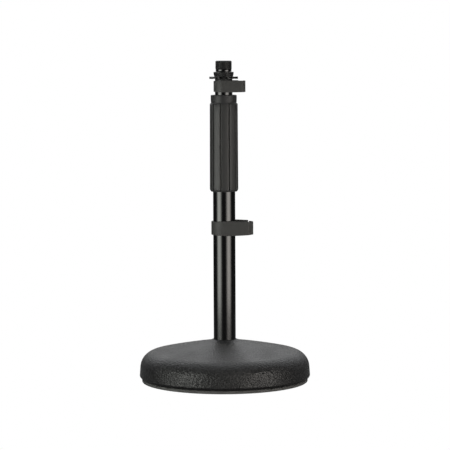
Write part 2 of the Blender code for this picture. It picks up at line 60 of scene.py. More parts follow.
# Studio
STAND_MIDDLE_Z = 0.15
BOX_DISTANCE = 1.4
BOX_LOW = math.radians(-14)        # elevations that the two soft boxes reach, seen from the stand
BOX_HIGH = math.radians(10)
BOX_SOFTNESS = 0.42                # share of a box's width over which each side fades out
LEFT_BOX = dict(start=math.radians(-88), end=math.radians(-21), strength=6.8, tint=(0.985, 1.0, 0.94))
RIGHT_BOX = dict(start=math.radians(13), end=math.radians(80), strength=6.6, tint=(1.0, 0.955, 0.90))
BACKDROP_HALF_WIDTH = math.radians(75)
BACKDROP_LOW = math.radians(2)
BACKDROP_HIGH = math.radians(78)
BACKDROP_STRENGTH = 1.62
BACKDROP_SOFTNESS = 0.25
BACKDROP_TOP_FADE = 0.45           # share of its height over which the top fades out
BACKDROP_FOOT_GLOW = 0.06
BACKDROP_FOOT_RISE = 0.4           # share of its height over which it brightens from the foot
SKY_TINT = (0.97, 0.985, 1.0)
CEILING_CENTRE = (0.0, 0.2, 1.6)
CEILING_RADIUS = 0.95
CEILING_STRENGTH = 1.7
CEILING_FADE = 0.5                 # share of the radius over which the rim fades out
FLOOR_RADIUS = 0.55
FLOOR_GREY = 0.14                  # what the stand sees; the camera sees pure white
WORLD_DIM = 0.03

# Base
BASE_CORNER_Z = 5.6
BASE_DRAFT = math.radians(4.1)
SHOULDER_R = 15.5
SHOULDER_Z = 13.55
DOME_R = 833.0
DOME_EDGE_SLOPE = math.radians(12.4)
CONE_FOOT_R = 20.0
CONE_RISE = 2.65
SHELL = 8.0
RIM_R = 79.9
RIM_INNER_R = 71.5
WALL_ARC_R = 8.0
WALL_ARC_CENTRE = (63.0, 13.0)
BOSS_R = 17.0
BOSS_BOTTOM_Z = 22.0
TUBE_SEAT_Z = 34.0
GAP = 0.3
BOLT_R = 5.0
BOLT_HEAD = 6.4

# Foot ring
FOOT_INNER_R = 70.6
FOOT_LIP_R = 70.9
FOOT_LIP_INNER_R = 68.4
FOOT_TREADS = 3
TREAD_DEPTH = 0.35

# Tubes
OUTER_WALL = 1.2
INNER_WALL = 1.1
INNER_DULL_Z = 287.6               # above this the inner tube is unpolished
DULL_EDGE = 0.4

# Grip
LANDS = 10
LAND_PHASE = math.radians(-103.2)
GROOVE_DEPTH = 1.1
GROOVE_FLOOR = 0.12                # half widths, measured along the surface
GROOVE_SHOULDER = 1.15
LAND_FLATNESS = 0.5                # 0 keeps the lands round, 1 makes them flat
SLEEVE_LOW_R = 13.75
SLEEVE_HIGH_R = 13.45
SLEEVE_BORE_R = 12.2
FOOT_ROUND = 2.8
FOOT_PULL = 0.75
HEAD_ROUND = 1.5
HEAD_PULL = 0.9
SCALLOP_DEPTH = 0.45

# Clutch cap
SKIRT_R = 11.9
SKIRT_BORE_R = 11.0
COLLAR_BORE_R = 8.75
COLLAR_FLOOR_Z = 268.2

# Stud
THREAD_PITCH = 25.4 / 27
THREAD_R = 7.9
THREAD_ROOT_R = 7.5
THREAD_START = 298.0
RELIEF_R = 7.5
FLANGE_BOTTOM = 291.7
FLANGE_TOP = 295.8
FLANGE_STEP_R = 8.9
FLANGE_STEP_BOTTOM = 291.2
FLANGE_R = 9.55
KNURLS = 26
KNURL_DEPTH = 0.3
KNURL_TWIST = 0.16                 # radians of lean per millimetre of height
KNURL_ROWS = 22
THREAD_ROWS = 12                   # rings per turn
STUD_SIDES = 12 * KNURLS

# Star washer
STAR_TEETH = 18
STAR_ROOT_R = 9.6
STAR_WAIST = 1.1                   # from the root out to where a tooth starts to twist
STAR_TWIST = 0.5
STAR_THICKNESS = 1.3

# Clips
CLIP_GRIP_ANGLE = math.radians(50)
CLIP_NUB_LENGTH = 3.2
CLIP_ARM_LEAN = 0.02               # how far the front face of the arm leans in, per unit of length
CLIP_CORNER_R = 1.2
CLIP_INNER_CORNER_R = 0.6
CLIP_HOOK_CORNER_R = 0.4
CLIP_TIP_SHARE = 0.98              # the lip's two tip fillets stay just short of each other
CLIP_ARM_POINTS = 8
CLIP_EDGE_STEPS = 4
CLIP_SAG_X = 5.0                   # where the arms are tallest
LOWER_CLIP = dict(wall=1.5, finger=23.0, chamfer=4.4, hook=3.6, lip=23.4, edge=0.35,
                  ring_sag=0.6, arm_sag=1.0)
UPPER_CLIP = dict(wall=1.0, finger=14.0, chamfer=2.7, hook=2.2, lip=18.0, edge=0.25,
                  ring_sag=0.55, arm_sag=0.3)

# Colours, linear
COAT_PITS = (0.004, 0.004, 0.0042)
COAT_GRAIN = (0.026, 0.026, 0.027)
COAT_CLOUD = (0.017, 0.017, 0.0175)
FOOT_DARK = (0.085, 0.085, 0.085)
FOOT_LIGHT = (0.15, 0.15, 0.146)
ENAMEL = (0.0035, 0.0035, 0.004)
ENAMEL_DUST = (0.016, 0.016, 0.015)
STUD_WEAR = (0.018, 0.018, 0.0175)
OXIDE_DARK = (0.010, 0.010, 0.010)
OXIDE_LIGHT = (0.035, 0.035, 0.034)
ZINC_LIGHT = (0.62, 0.62, 0.60)
ZINC_DARK = (0.42, 0.43, 0.40)
NYLON_DARK = (0.62, 0.60, 0.54)
NYLON_LIGHT = (0.76, 0.74, 0.68)
RUBBER_DARK = (0.021, 0.021, 0.0215)
RUBBER_LIGHT = (0.033, 0.033, 0.033)
# painted shade: near-black colour painted onto the grip's groove floors
GROOVE_PAINTED_SHADE = (0.004, 0.004, 0.004)
CAP_DARK = (0.022, 0.022, 0.023)
CAP_LIGHT = (0.033, 0.033, 0.034)
CLIP_DARK = (0.043, 0.043, 0.0425)
CLIP_LIGHT = (0.056, 0.056, 0.055)


# Meshes


def arc(centre, radius, start, end, steps):
    """Points (r, z) along an arc, angles in radians from +r."""
    return [
        (centre[0] + radius * math.cos(start + (end - start) * i / steps),
         centre[1] + radius * math.sin(start + (end - start) * i / steps))
        for i in range(steps + 1)
    ]


def filleted(corners, steps=6):
    """Closed outline through corners (r, z, fillet radius); a radius of 0 stays sharp."""
    outline = []
    count = len(corners)
    for i, (r, z, radius) in enumerate(corners):
        point = Vector((r, z))
        if radius == 0:
            outline.append((r, z))
            continue
        back = (Vector(corners[i - 1][:2]) - point).normalized()
        ahead = (Vector(corners[(i + 1) % count][:2]) - point).normalized()
        half = back.angle(ahead) / 2
        centre = point + (back + ahead).normalized() * radius / math.sin(half)
        start = point + back * radius / math.tan(half) - centre
        end = point + ahead * radius / math.tan(half) - centre
        first = math.atan2(start.y, start.x)
        sweep = (math.atan2(end.y, end.x) - first + math.pi) % math.tau - math.pi
        outline += arc(centre, radius, first, first + sweep, steps)
    return outline


def on_circle(radius, z, angle):
    return (radius * math.cos(angle), radius * math.sin(angle), z)


def ring_of(bm, angles, radius_at, z):
    return [bm.verts.new(on_circle(radius_at(angle), z, angle)) for angle in angles]


def skin(bm, rings):
    """Bridges each ring of vertices to the next one with quads."""
    for ring, following in zip(rings, rings[1:]):
        count = len(ring)
        for i in range(count):
            j = (i + 1) % count
            bm.faces.new([ring[i], ring[j], following[j], following[i]])


def piece(name, bm, material, body, replaced, smooth_angle=35.0):
    """Turns a closed bmesh in millimetres into a piece that rides on a body of the frame."""
    bmesh.ops.recalc_face_normals(bm, faces=bm.faces)
    if bm.calc_volume(signed=True) < 0:
        bmesh.ops.reverse_faces(bm, faces=bm.faces)
    bmesh.ops.scale(bm, vec=(MM, MM, MM), verts=bm.verts)
    mesh = bpy.data.meshes.new(name)
    bm.to_mesh(mesh)
    bm.free()
    mesh.materials.append(material)
    mesh.shade_smooth()
    mesh.set_sharp_from_angle(angle=math.radians(smooth_angle))
    obj = bpy.data.objects.new(name, mesh)
    bpy.context.scene.collection.objects.link(obj)
    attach(obj, body)
    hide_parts(replaced)
    return obj


def flatten_shading(obj):
    """Long flat faces keep their own normals beside narrow rounded edges."""
    modifier = obj.modifiers.new("face_weighted_normals", "WEIGHTED_NORMAL")
    modifier.keep_sharp = True


def turned(name, outline, material, body, replaced, segments=160):
    """Turns a closed outline about Z."""
    bm = bmesh.new()
    angles = [math.tau * i / segments for i in range(segments)]
    rings = [ring_of(bm, angles, lambda angle, r=r: r, z) for r, z in outline]
    skin(bm, rings + rings[:1])
    obj = piece(name, bm, material, body, replaced)
    flatten_shading(obj)
    return obj


def extent(node):
    """Lowest z, highest z and outer radius of a turned CAD node, in millimetres."""
    low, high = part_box(node)
    return low.z / MM, high.z / MM, high.x / MM


# Materials


def new_material(name):
    material = bpy.data.materials.new(name)
    material.use_nodes = True
    return material, material.node_tree, material.node_tree.nodes["Principled BSDF"]


def add_node(tree, kind, settings=None, inputs=None):
    made = tree.nodes.new(kind)
    for key, value in (settings or {}).items():
        setattr(made, key, value)
    for key, value in (inputs or {}).items():
        if isinstance(value, bpy.types.NodeSocket):
            tree.links.new(value, made.inputs[key])
        else:
            made.inputs[key].default_value = value
    return made


def place(tree, stretch=(1.0, 1.0, 1.0)):
    """The object's own coordinates in metres, scaled along each axis."""
    coordinates = add_node(tree, "ShaderNodeTexCoord")
    mapping = add_node(tree, "ShaderNodeMapping", inputs={
        "Vector": coordinates.outputs["Object"], "Scale": stretch})
    return mapping.outputs["Vector"]


def noise(tree, grain_mm, detail=2.0, stretch=(1.0, 1.0, 1.0), rough=0.5):
    """Noise whose lumps are about grain_mm across."""
    made = add_node(tree, "ShaderNodeTexNoise", inputs={
        "Vector": place(tree, stretch), "Scale": 1.0 / (grain_mm * MM), "Detail": detail,
        "Roughness": rough})
    return made.outputs["Fac"]


def cells(tree, grain_mm):
    made = add_node(tree, "ShaderNodeTexVoronoi", {"feature": "SMOOTH_F1"}, {
        "Vector": place(tree), "Scale": 1.0 / (grain_mm * MM), "Smoothness": 0.7})
    return made.outputs["Distance"]


def remap(tree, value, low, high, to_low, to_high):
    made = add_node(tree, "ShaderNodeMapRange", {"interpolation_type": "SMOOTHSTEP"}, {
        "Value": value, "From Min": low, "From Max": high, "To Min": to_low, "To Max": to_high})
    return made.outputs["Result"]


def blended(tree, factor, first, second):
    made = add_node(tree, "ShaderNodeMix", {"data_type": "RGBA"}, {0: factor})
    for index, colour in ((6, first), (7, second)):
        if isinstance(colour, bpy.types.NodeSocket):
            tree.links.new(colour, made.inputs[index])
        else:
            made.inputs[index].default_value = (*colour, 1.0)
    return made.outputs[2]


def mottled(tree, pattern, low, high, first, second, most=1.0):
    """Mixes in the second colour where the pattern rises from low to high, up to the share most."""
    return blended(tree, remap(tree, pattern, low, high, 0.0, most), first, second)


def combined(tree, operation, first, second):
    made = add_node(tree, "ShaderNodeMath", {"operation": operation}, {0: first, 1: second})
    return made.outputs["Value"]


def bump(tree, height, depth_mm, strength=1.0, normal=None):
    inputs = {"Height": height, "Distance": depth_mm * MM, "Strength": strength}
    if normal is not None:
        inputs["Normal"] = normal
    return add_node(tree, "ShaderNodeBump", inputs=inputs).outputs["Normal"]


def attribute(tree, name):
    """A float stored on the mesh's vertices, such as how worn an edge is."""
    return add_node(tree, "ShaderNodeAttribute", {"attribute_name": name}).outputs["Fac"]


def wire(tree, shader, colour=None, roughness=None, normal=None):
    for key, socket in (("Base Color", colour), ("Roughness", roughness), ("Normal", normal)):
        if socket is not None:
            tree.links.new(socket, shader.inputs[key])


def textured_coat():
    """Black powder coat on cast iron: a fine orange-peel grain with small glinting lumps."""
    material, tree, shader = new_material("textured_black_coat")
    shader.inputs["Sheen Weight"].default_value = 0.10
    shader.inputs["Sheen Roughness"].default_value = 0.3
    lumps = cells(tree, 1.6)
    grit = noise(tree, 0.8, 3.0)
    cloud = noise(tree, 24.0, 3.0)
    fine = mottled(tree, grit, 0.38, 0.62, COAT_PITS, COAT_GRAIN)
    colour = mottled(tree, cloud, 0.3, 0.7, fine, COAT_CLOUD, 0.35)
    roughness = remap(tree, combined(tree, "ADD", grit, cloud), 0.7, 1.3, 0.34, 0.52)
    normal = bump(tree, lumps, 0.5, 1.0)
    normal = bump(tree, grit, 0.25, 0.8, normal)
    wire(tree, shader, colour, roughness, normal)
    return material


def foot_rubber():
    """Matte grey rubber, speckled and a little smeared."""
    material, tree, shader = new_material("foot_rubber")
    speckle = noise(tree, 0.5, 4.0)
    smear = noise(tree, 9.0, 2.0)
    colour = mottled(tree, speckle, 0.35, 0.65, FOOT_DARK, FOOT_LIGHT)
    roughness = remap(tree, smear, 0.3, 0.7, 0.62, 0.8)
    wire(tree, shader, colour, roughness, bump(tree, speckle, 0.05, 0.6))
    return material


def gloss_black(name, roughness_range=(0.13, 0.24), wear_colour=None, polished=None, dullness=0.0):
    """Gloss black enamel with a faint orange peel and a little dust in its shine.

    Where polished is a pair of heights in millimetres, the enamel is dull outside them.
    """
    material, tree, shader = new_material(name)
    peel = noise(tree, 3.2, 1.0, (1.0, 1.0, 0.55))
    dust = noise(tree, 0.5, 5.0, rough=0.7)
    colour = mottled(tree, dust, 0.55, 0.85, ENAMEL, ENAMEL_DUST, 0.6)
    if wear_colour:
        rubbed = remap(tree, dust, 0.35, 0.6, 0.2, 1.0)
        worn = combined(tree, "MULTIPLY", attribute(tree, "wear"), rubbed)
        colour = blended(tree, worn, colour, wear_colour)
    roughness = remap(tree, dust, 0.3, 0.8, *roughness_range)
    if polished:
        low, high = polished
        height = add_node(tree, "ShaderNodeSeparateXYZ", inputs={"Vector": place(tree)}).outputs["Z"]
        below = remap(tree, height, (low - DULL_EDGE) * MM, low * MM, dullness, 0.0)
        above = remap(tree, height, high * MM, (high + DULL_EDGE) * MM, 0.0, dullness)
        roughness = combined(tree, "ADD", roughness, combined(tree, "ADD", below, above))
    wire(tree, shader, colour, roughness, bump(tree, peel, 0.02, 0.35))
    return material


def black_oxide():
    """Hard dark steel, nearly matte, with faint rubbed spots."""
    material, tree, shader = new_material("black_oxide_steel")
    shader.inputs["Specular IOR Level"].default_value = 0.3
    spots = noise(tree, 1.1, 3.0)
    grain = noise(tree, 0.3, 3.0)
    colour = mottled(tree, spots, 0.4, 0.75, OXIDE_DARK, OXIDE_LIGHT)
    roughness = remap(tree, grain, 0.3, 0.7, 0.30, 0.48)
    wire(tree, shader, colour, roughness, bump(tree, grain, 0.02, 0.5))
    return material


def zinc_plate():
    """Dull silver plating with fine streaks along Z."""
    material, tree, shader = new_material("zinc_plated_steel")
    shader.inputs["Metallic"].default_value = 1.0
    streaks = noise(tree, 0.25, 4.0, (1.0, 1.0, 0.08))
    spots = noise(tree, 1.6, 3.0)
    colour = mottled(tree, spots, 0.35, 0.7, ZINC_LIGHT, ZINC_DARK)
    roughness = remap(tree, streaks, 0.3, 0.7, 0.26, 0.48)
    wire(tree, shader, colour, roughness, bump(tree, streaks, 0.02, 0.5))
    return material


def nylon():
    """Natural off-white nylon, slightly translucent."""
    material, tree, shader = new_material("natural_nylon")
    shader.inputs["Subsurface Weight"].default_value = 0.15
    shader.inputs["Subsurface Radius"].default_value = (0.003, 0.0025, 0.002)
    cloud = noise(tree, 2.5, 3.0)
    colour = blended(tree, cloud, NYLON_DARK, NYLON_LIGHT)
    roughness = remap(tree, cloud, 0.3, 0.7, 0.38, 0.55)
    wire(tree, shader, colour, roughness, bump(tree, cloud, 0.02, 0.4))
    return material


def moulded_plastic(name, dark, light, roughness, grain_mm, depth_mm):
    """Spark-eroded black plastic: fine grain and faint flow clouds."""
    material, tree, shader = new_material(name)
    grain = noise(tree, grain_mm, 3.0)
    flow = noise(tree, 7.0, 3.0, (1.0, 1.0, 0.4))
    colour = mottled(tree, grain, 0.35, 0.65, dark, light)
    colour = mottled(tree, flow, 0.35, 0.75, colour, dark, 0.35)
    uneven = combined(tree, "ADD", grain, flow)
    polish = remap(tree, uneven, 0.7, 1.3, roughness + 0.06, roughness - 0.06)
    shader.inputs["Specular IOR Level"].default_value = 0.32
    wire(tree, shader, colour, polish, bump(tree, grain, depth_mm, 0.5))
    return material


def grip_rubber():
    """Soft-touch rubber, smoother on the lands, with painted shade darkening the groove floors nearly
    black.
    """
    material, tree, shader = new_material("grip_rubber")
    grain = noise(tree, 0.35, 3.0)
    drag = noise(tree, 1.1, 3.0, (1.0, 1.0, 0.12))
    groove = attribute(tree, "groove")
    colour = mottled(tree, grain, 0.3, 0.7, RUBBER_DARK, RUBBER_LIGHT)
    # Painted shade: the groove floors are painted nearly black
    colour = blended(tree, groove, colour, GROOVE_PAINTED_SHADE)
    worn = combined(tree, "ADD", groove, remap(tree, drag, 0.35, 0.7, 0.0, 0.4))
    roughness = remap(tree, worn, 0.0, 1.0, 0.47, 0.62)
    shader.inputs["Specular IOR Level"].default_value = 0.44
    wire(tree, shader, colour, roughness, bump(tree, grain, 0.035, 0.5))
    return material


# Base


def shoulder_centre(corner_r):
    """Centre (r, z) of the arc that joins the dome to the drafted side."""
    side_r = corner_r - SHOULDER_R / math.cos(BASE_DRAFT)
    return side_r - math.tan(BASE_DRAFT) * (SHOULDER_Z - BASE_CORNER_Z), SHOULDER_Z


def base_outline(corner_r, rim_z, tube_r):
    """Section of the casting: cone, dome, shoulder, side, rim and underside."""
    centre = shoulder_centre(corner_r)
    edge_r = centre[0] + SHOULDER_R * math.sin(DOME_EDGE_SLOPE)
    edge_z = centre[1] + SHOULDER_R * math.cos(DOME_EDGE_SLOPE)
    dome_centre = (edge_r - DOME_R * math.sin(DOME_EDGE_SLOPE),
                   edge_z - DOME_R * math.cos(DOME_EDGE_SLOPE))

    def dome(r):
        return dome_centre[1] + math.sqrt(DOME_R ** 2 - (r - dome_centre[0]) ** 2)

    recess_r = tube_r + GAP
    lip = 0.4
    cone_r = recess_r + lip
    cone_span = CONE_FOOT_R - cone_r
    cone = [(CONE_FOOT_R - cone_span * share, dome(CONE_FOOT_R) + CONE_RISE * share ** 1.5)
            for share in (1 - i / 14 for i in range(14))]
    dome_radii = [CONE_FOOT_R + (edge_r - CONE_FOOT_R) * i / 24 for i in range(24)]
    top = cone + [(r, dome(r)) for r in dome_radii]
    top_angle = math.pi / 2 - DOME_EDGE_SLOPE
    top += arc(centre, SHOULDER_R, top_angle, BASE_DRAFT, 28)
    wall_r, wall_z = WALL_ARC_CENTRE
    rim = filleted([(*top[-1], 0), (corner_r, BASE_CORNER_Z, 1.6), (RIM_R, rim_z, 0.5),
                    (RIM_INNER_R, rim_z, 0.6), (wall_r + WALL_ARC_R, wall_z, 0)])[1:-1]
    under = arc(WALL_ARC_CENTRE, WALL_ARC_R, 0, top_angle, 10)
    under += [(r, dome(r) - SHELL) for r in (52.0, 41.0, 30.0, 22.0)]
    boss_fillet = 3.0
    boss_z = dome(BOSS_R + boss_fillet) - SHELL
    under += arc((BOSS_R + boss_fillet, boss_z - boss_fillet), boss_fillet, math.pi / 2, math.pi, 5)
    boss = [(BOSS_R - 0.8, BOSS_BOTTOM_Z + 0.6), (BOSS_R - 1.6, BOSS_BOTTOM_Z),
            (BOLT_R + GAP, BOSS_BOTTOM_Z), (BOLT_R + GAP, TUBE_SEAT_Z),
            (recess_r, TUBE_SEAT_Z), (recess_r, cone[0][1] - lip)]
    return top + rim + under + boss


def build_base(coat, rubber, zinc):
    """Casting, foot ring, bolt and flat washer."""
    rim_z, _, corner_r = extent("base_casting")
    tube_r = extent("outer_tube")[2]
    outline = base_outline(corner_r, rim_z, tube_r)
    turned("base_body", outline, coat, "stand", "base_casting", 288)
    build_foot(rubber, rim_z)
    build_bolt(zinc)
    low, high, radius = extent("flat_washer")
    washer = filleted([(BOLT_R + GAP, low, 0.15), (radius, low, 0.35),
                       (radius, high, 0.2), (BOLT_R + GAP, high, 0.15)])
    turned("flat_washer_body", washer, zinc, "stand", "flat_washer", 96)


def build_foot(rubber, rim_z):
    """Ring with a rounded outer edge, shallow treads underneath and a lip inside the rim."""
    low, lip_top, outer_r = extent("foot_ring")
    top = rim_z - GAP
    corners = [(FOOT_LIP_INNER_R, lip_top, 0.3), (FOOT_LIP_INNER_R, top - 0.6, 0.8),
               (FOOT_INNER_R, low, 0.4)]
    pitch = (outer_r - 1.4 - FOOT_INNER_R) / FOOT_TREADS
    for i in range(FOOT_TREADS):
        start = FOOT_INNER_R + pitch * (i + 0.72)
        corners += [(start, low, 0.15), (start + 0.3, low + TREAD_DEPTH, 0.1),
                    (start + 0.7, low + TREAD_DEPTH, 0.1), (start + 1.0, low, 0.15)]
    corners += [(outer_r, low, 0.7), (outer_r, top, 0.8),
                (FOOT_LIP_R + 0.3, top, 0.2), (FOOT_LIP_R, lip_top, 0.5)]
    turned("foot_ring_body", filleted(corners, 4), rubber, "stand", "foot_ring", 288)


def build_bolt(zinc):
    """Hexagon-head bolt with a chamfered head and a washer face."""
    low, high, corner_r = extent("base_bolt")
    head_top = low + BOLT_HEAD
    flat_r = corner_r * math.cos(math.pi / 6)
    sides = 96
    angles = [math.tau * i / sides for i in range(sides)]

    def hexagon(angle):
        return flat_r / math.cos(angle % (math.pi / 3) - math.pi / 6)

    def cone(limit):
        return lambda angle: min(hexagon(angle), limit)

    dish_r = flat_r - 1.4
    head = [(dish_r - 0.6, low + 0.35), (dish_r, low + 0.12)]
    face_r = flat_r - 0.35
    chamfer = [(face_r + (corner_r - face_r) * i / 5, low + 0.58 * i / 5) for i in range(6)]
    shank = [(flat_r - 0.4, head_top - 0.35), (flat_r - 0.4, head_top), (BOLT_R, head_top),
             (BOLT_R, high - 1.0), (BOLT_R - 1.0, high)]
    bm = bmesh.new()
    rings = [ring_of(bm, angles, lambda angle, r=r: r, z) for r, z in head]
    rings += [ring_of(bm, angles, cone(r), z) for r, z in chamfer]
    rings.append(ring_of(bm, angles, hexagon, head_top - 0.35))
    rings += [ring_of(bm, angles, lambda angle, r=r: r, z) for r, z in shank]
    skin(bm, rings)
    bm.faces.new(rings[0])
    bm.faces.new(rings[-1])
    flatten_shading(piece("base_bolt_body", bm, zinc, "stand", "base_bolt", 25.0))


# Tubes


def build_tube(name, node, wall, material, body):
    """Plain tube with its cut ends broken."""
    low, high, radius = extent(node)
    outline = filleted([(radius - wall, low, 0.2), (radius, low, 0.3),
                        (radius, high, 0.5), (radius - wall, high, 0.2)])
    turned(name, outline, material, body, node, 192)


# Clutch


def land_radius(z, low, high):
    """Radius of the lands: a slight taper, a round foot and a rounded head."""
    radius = SLEEVE_LOW_R + (SLEEVE_HIGH_R - SLEEVE_LOW_R) * (z - low) / (high - low)
    into_foot = max(0.0, FOOT_ROUND - (z - low))
    radius -= FOOT_PULL * (FOOT_ROUND - math.sqrt(FOOT_ROUND ** 2 - into_foot ** 2))
    into_head = max(0.0, HEAD_ROUND - (high - z)) / HEAD_ROUND
    return radius - HEAD_PULL * into_head ** 2


def groove_at(angle):
    """1 on a groove's floor and 0 on the lands, with round shoulders between."""
    pitch = math.tau / LANDS
    away = abs((angle - LAND_PHASE + pitch / 2) % pitch - pitch / 2) * SLEEVE_LOW_R
    share = min(1.0, max(0.0, (GROOVE_SHOULDER - away) / (GROOVE_SHOULDER - GROOVE_FLOOR)))
    return share * share


def land_flat(angle):
    """How far, as a share of the radius, a land's flattened face lies inside the full circle."""
    pitch = math.tau / LANDS
    from_middle = (angle - LAND_PHASE) % pitch - pitch / 2
    return LAND_FLATNESS * (1 - math.cos(pitch / 2) / math.cos(from_middle))


def build_sleeve(rubber):
    """Grip with lands and grooves; the angles are closest together across the grooves."""
    low, high, _ = extent("grip_sleeve")
    pitch = math.tau / LANDS
    near = [i * 0.09 / SLEEVE_LOW_R for i in range(11)]
    far = [near[-1] + (pitch / 2 - near[-1]) * i / 5 for i in range(1, 6)]
    half = near + far
    offsets = half + [pitch - offset for offset in reversed(half[1:-1])]
    angles = [LAND_PHASE + pitch * land + offset for land in range(LANDS) for offset in offsets]
    foot = [low + FOOT_ROUND * (1 - math.cos(math.pi / 2 * i / 10)) for i in range(11)]
    body = [low + FOOT_ROUND + (high - low - FOOT_ROUND - HEAD_ROUND) * i / 12 for i in range(1, 13)]
    head = [high - HEAD_ROUND + HEAD_ROUND * i / 6 for i in range(1, 7)]
    bm = bmesh.new()
    # groove share of each vertex; the rubber uses it to paint shade into the grooves and to make them
    # rougher
    store = bm.verts.layers.float.new("groove")
    rings = []
    for z in foot + body + head:
        radius = land_radius(z, low, high)
        depth = min(GROOVE_DEPTH, radius - SLEEVE_BORE_R - 0.25)
        into_head = max(0.0, HEAD_ROUND - (high - z)) / HEAD_ROUND

        def radius_at(angle):
            across = math.cos((angle - LAND_PHASE) * LANDS / 2 + math.pi / 2) ** 2
            carved = depth * groove_at(angle) + SCALLOP_DEPTH * across * into_head
            return max(SLEEVE_BORE_R + 0.2, radius * (1 - land_flat(angle)) - carved)

        ring = ring_of(bm, angles, radius_at, z)
        for vert, angle in zip(ring, angles):
            vert[store] = groove_at(angle)
        rings.append(ring)
    rings += [ring_of(bm, angles, lambda angle: SLEEVE_BORE_R, z) for z in (high, low)]
    skin(bm, rings + rings[:1])
    piece("grip_sleeve_body", bm, rubber, "clutch_grip", "grip_sleeve", 50.0)


def build_core(plastic):
    """Cap of the clutch: collar with rounded edges above the sleeve, thin skirt inside it."""
    low, high, collar_r = extent("grip_core")
    collar_low = extent("grip_sleeve")[1] + 0.35
    outline = filleted([(SKIRT_BORE_R, low, 0.2), (SKIRT_R, low, 0.2), (SKIRT_R, collar_low, 0.15),
                        (collar_r - 0.15, collar_low, 0.3), (collar_r, collar_low + 3.65, 0),
                        (collar_r - 0.05, high, 0.7), (COLLAR_BORE_R + 0.7, high, 0.3),
                        (COLLAR_BORE_R, high - 1.4, 0.5), (COLLAR_BORE_R, COLLAR_FLOOR_Z, 0.2),
                        (SKIRT_BORE_R, COLLAR_FLOOR_Z, 0.4)])
    turned("grip_core_body", outline, plastic, "clutch_grip", "grip_core", 160)


# Stud


def thread_radius(angle, z, top):
    """Right-hand 27-per-inch thread with flat crests, run out below and chamfered on top."""
    phase = ((z - THREAD_START) / THREAD_PITCH - angle / math.tau) % 1.0
    height = min(1.0, max(0.0, 1.6 - abs(2.0 * phase - 1.0) * 1.9))
    run_in = min(1.0, max(0.0, (z - THREAD_START) / THREAD_PITCH))
    radius = THREAD_ROOT_R + (THREAD_R - THREAD_ROOT_R) * height * (0.35 + 0.65 * run_in)
    if z > top - 0.9:
        radius = min(radius, THREAD_R - 0.15 - max(0.0, z - top + 0.7) * 1.1)
    return radius


def knurled_radius(angle, z):
    """The flange's edge: slanting ridges that fade out at its top and bottom rims."""
    taper = 0.5 * max(0.0, min(1.0, (FLANGE_BOTTOM + 2.4 - z) / 2.4))
    above = max(0.0, (z - FLANGE_BOTTOM - 0.25) / 0.5)
    below = max(0.0, (FLANGE_TOP - 0.35 - z) / 0.4)
    ridge = 0.5 - 0.5 * math.cos(KNURLS * (angle - KNURL_TWIST * (z - FLANGE_BOTTOM)))
    return FLANGE_R - taper - KNURL_DEPTH * ridge * min(1.0, above, below)


def build_stud(black):
    """Plain end, step, knurled flange, relief, thread and centre mark, as rings from the bottom up."""
    low, top, _ = extent("thread_stud")
    angles = [math.tau * i / STUD_SIDES for i in range(STUD_SIDES)]
    bm = bmesh.new()
    wear = bm.verts.layers.float.new("wear")
    rings = []

    def plain(r, z):
        rings.append(ring_of(bm, angles, lambda angle: r, z))

    def shaped(radius_at, z, worn_from, worn_to):
        ring = ring_of(bm, angles, lambda angle: radius_at(angle, z), z)
        for vert, angle in zip(ring, angles):
            share = (radius_at(angle, z) - worn_from) / (worn_to - worn_from)
            vert[wear] = max(0.0, min(1.0, share))
        rings.append(ring)

    plain(BOLT_R - 1.0, low)
    plain(BOLT_R, low + 1.0)
    plain(BOLT_R, FLANGE_STEP_BOTTOM)
    plain(FLANGE_STEP_R - 0.15, FLANGE_STEP_BOTTOM)
    plain(FLANGE_STEP_R, FLANGE_STEP_BOTTOM + 0.15)
    plain(FLANGE_STEP_R, FLANGE_BOTTOM)
    plain(FLANGE_R - 0.75, FLANGE_BOTTOM)
    for i in range(KNURL_ROWS + 1):
        z = FLANGE_BOTTOM + 0.15 + (FLANGE_TOP - 0.3 - FLANGE_BOTTOM) * i / KNURL_ROWS
        shaped(knurled_radius, z, FLANGE_R - 0.08, FLANGE_R + 0.1)
    plain(FLANGE_R - 0.2, FLANGE_TOP)
    for r, z in arc((RELIEF_R + 0.4, FLANGE_TOP + 0.4), 0.4, -math.pi / 2, -math.pi, 5):
        plain(r, z)
    plain(RELIEF_R, THREAD_START - 0.1)
    rows = round((top - THREAD_START) / THREAD_PITCH * THREAD_ROWS)
    for row in range(rows + 1):
        z = THREAD_START + (top - THREAD_START) * row / rows
        shaped(lambda angle, z: thread_radius(angle, z, top), z, THREAD_R - 0.12, THREAD_R + 0.1)
    plain(6.6, top)
    for r, z in ((1.7, top), (1.5, top - 0.15), (0.9, top - 0.8), (0.3, top - 1.1)):
        plain(r, z)
    skin(bm, rings)
    bm.faces.new(rings[0])
    bm.faces.new(rings[-1])
    piece("thread_stud_body", bm, black, "inner_column", "thread_stud", 40.0)


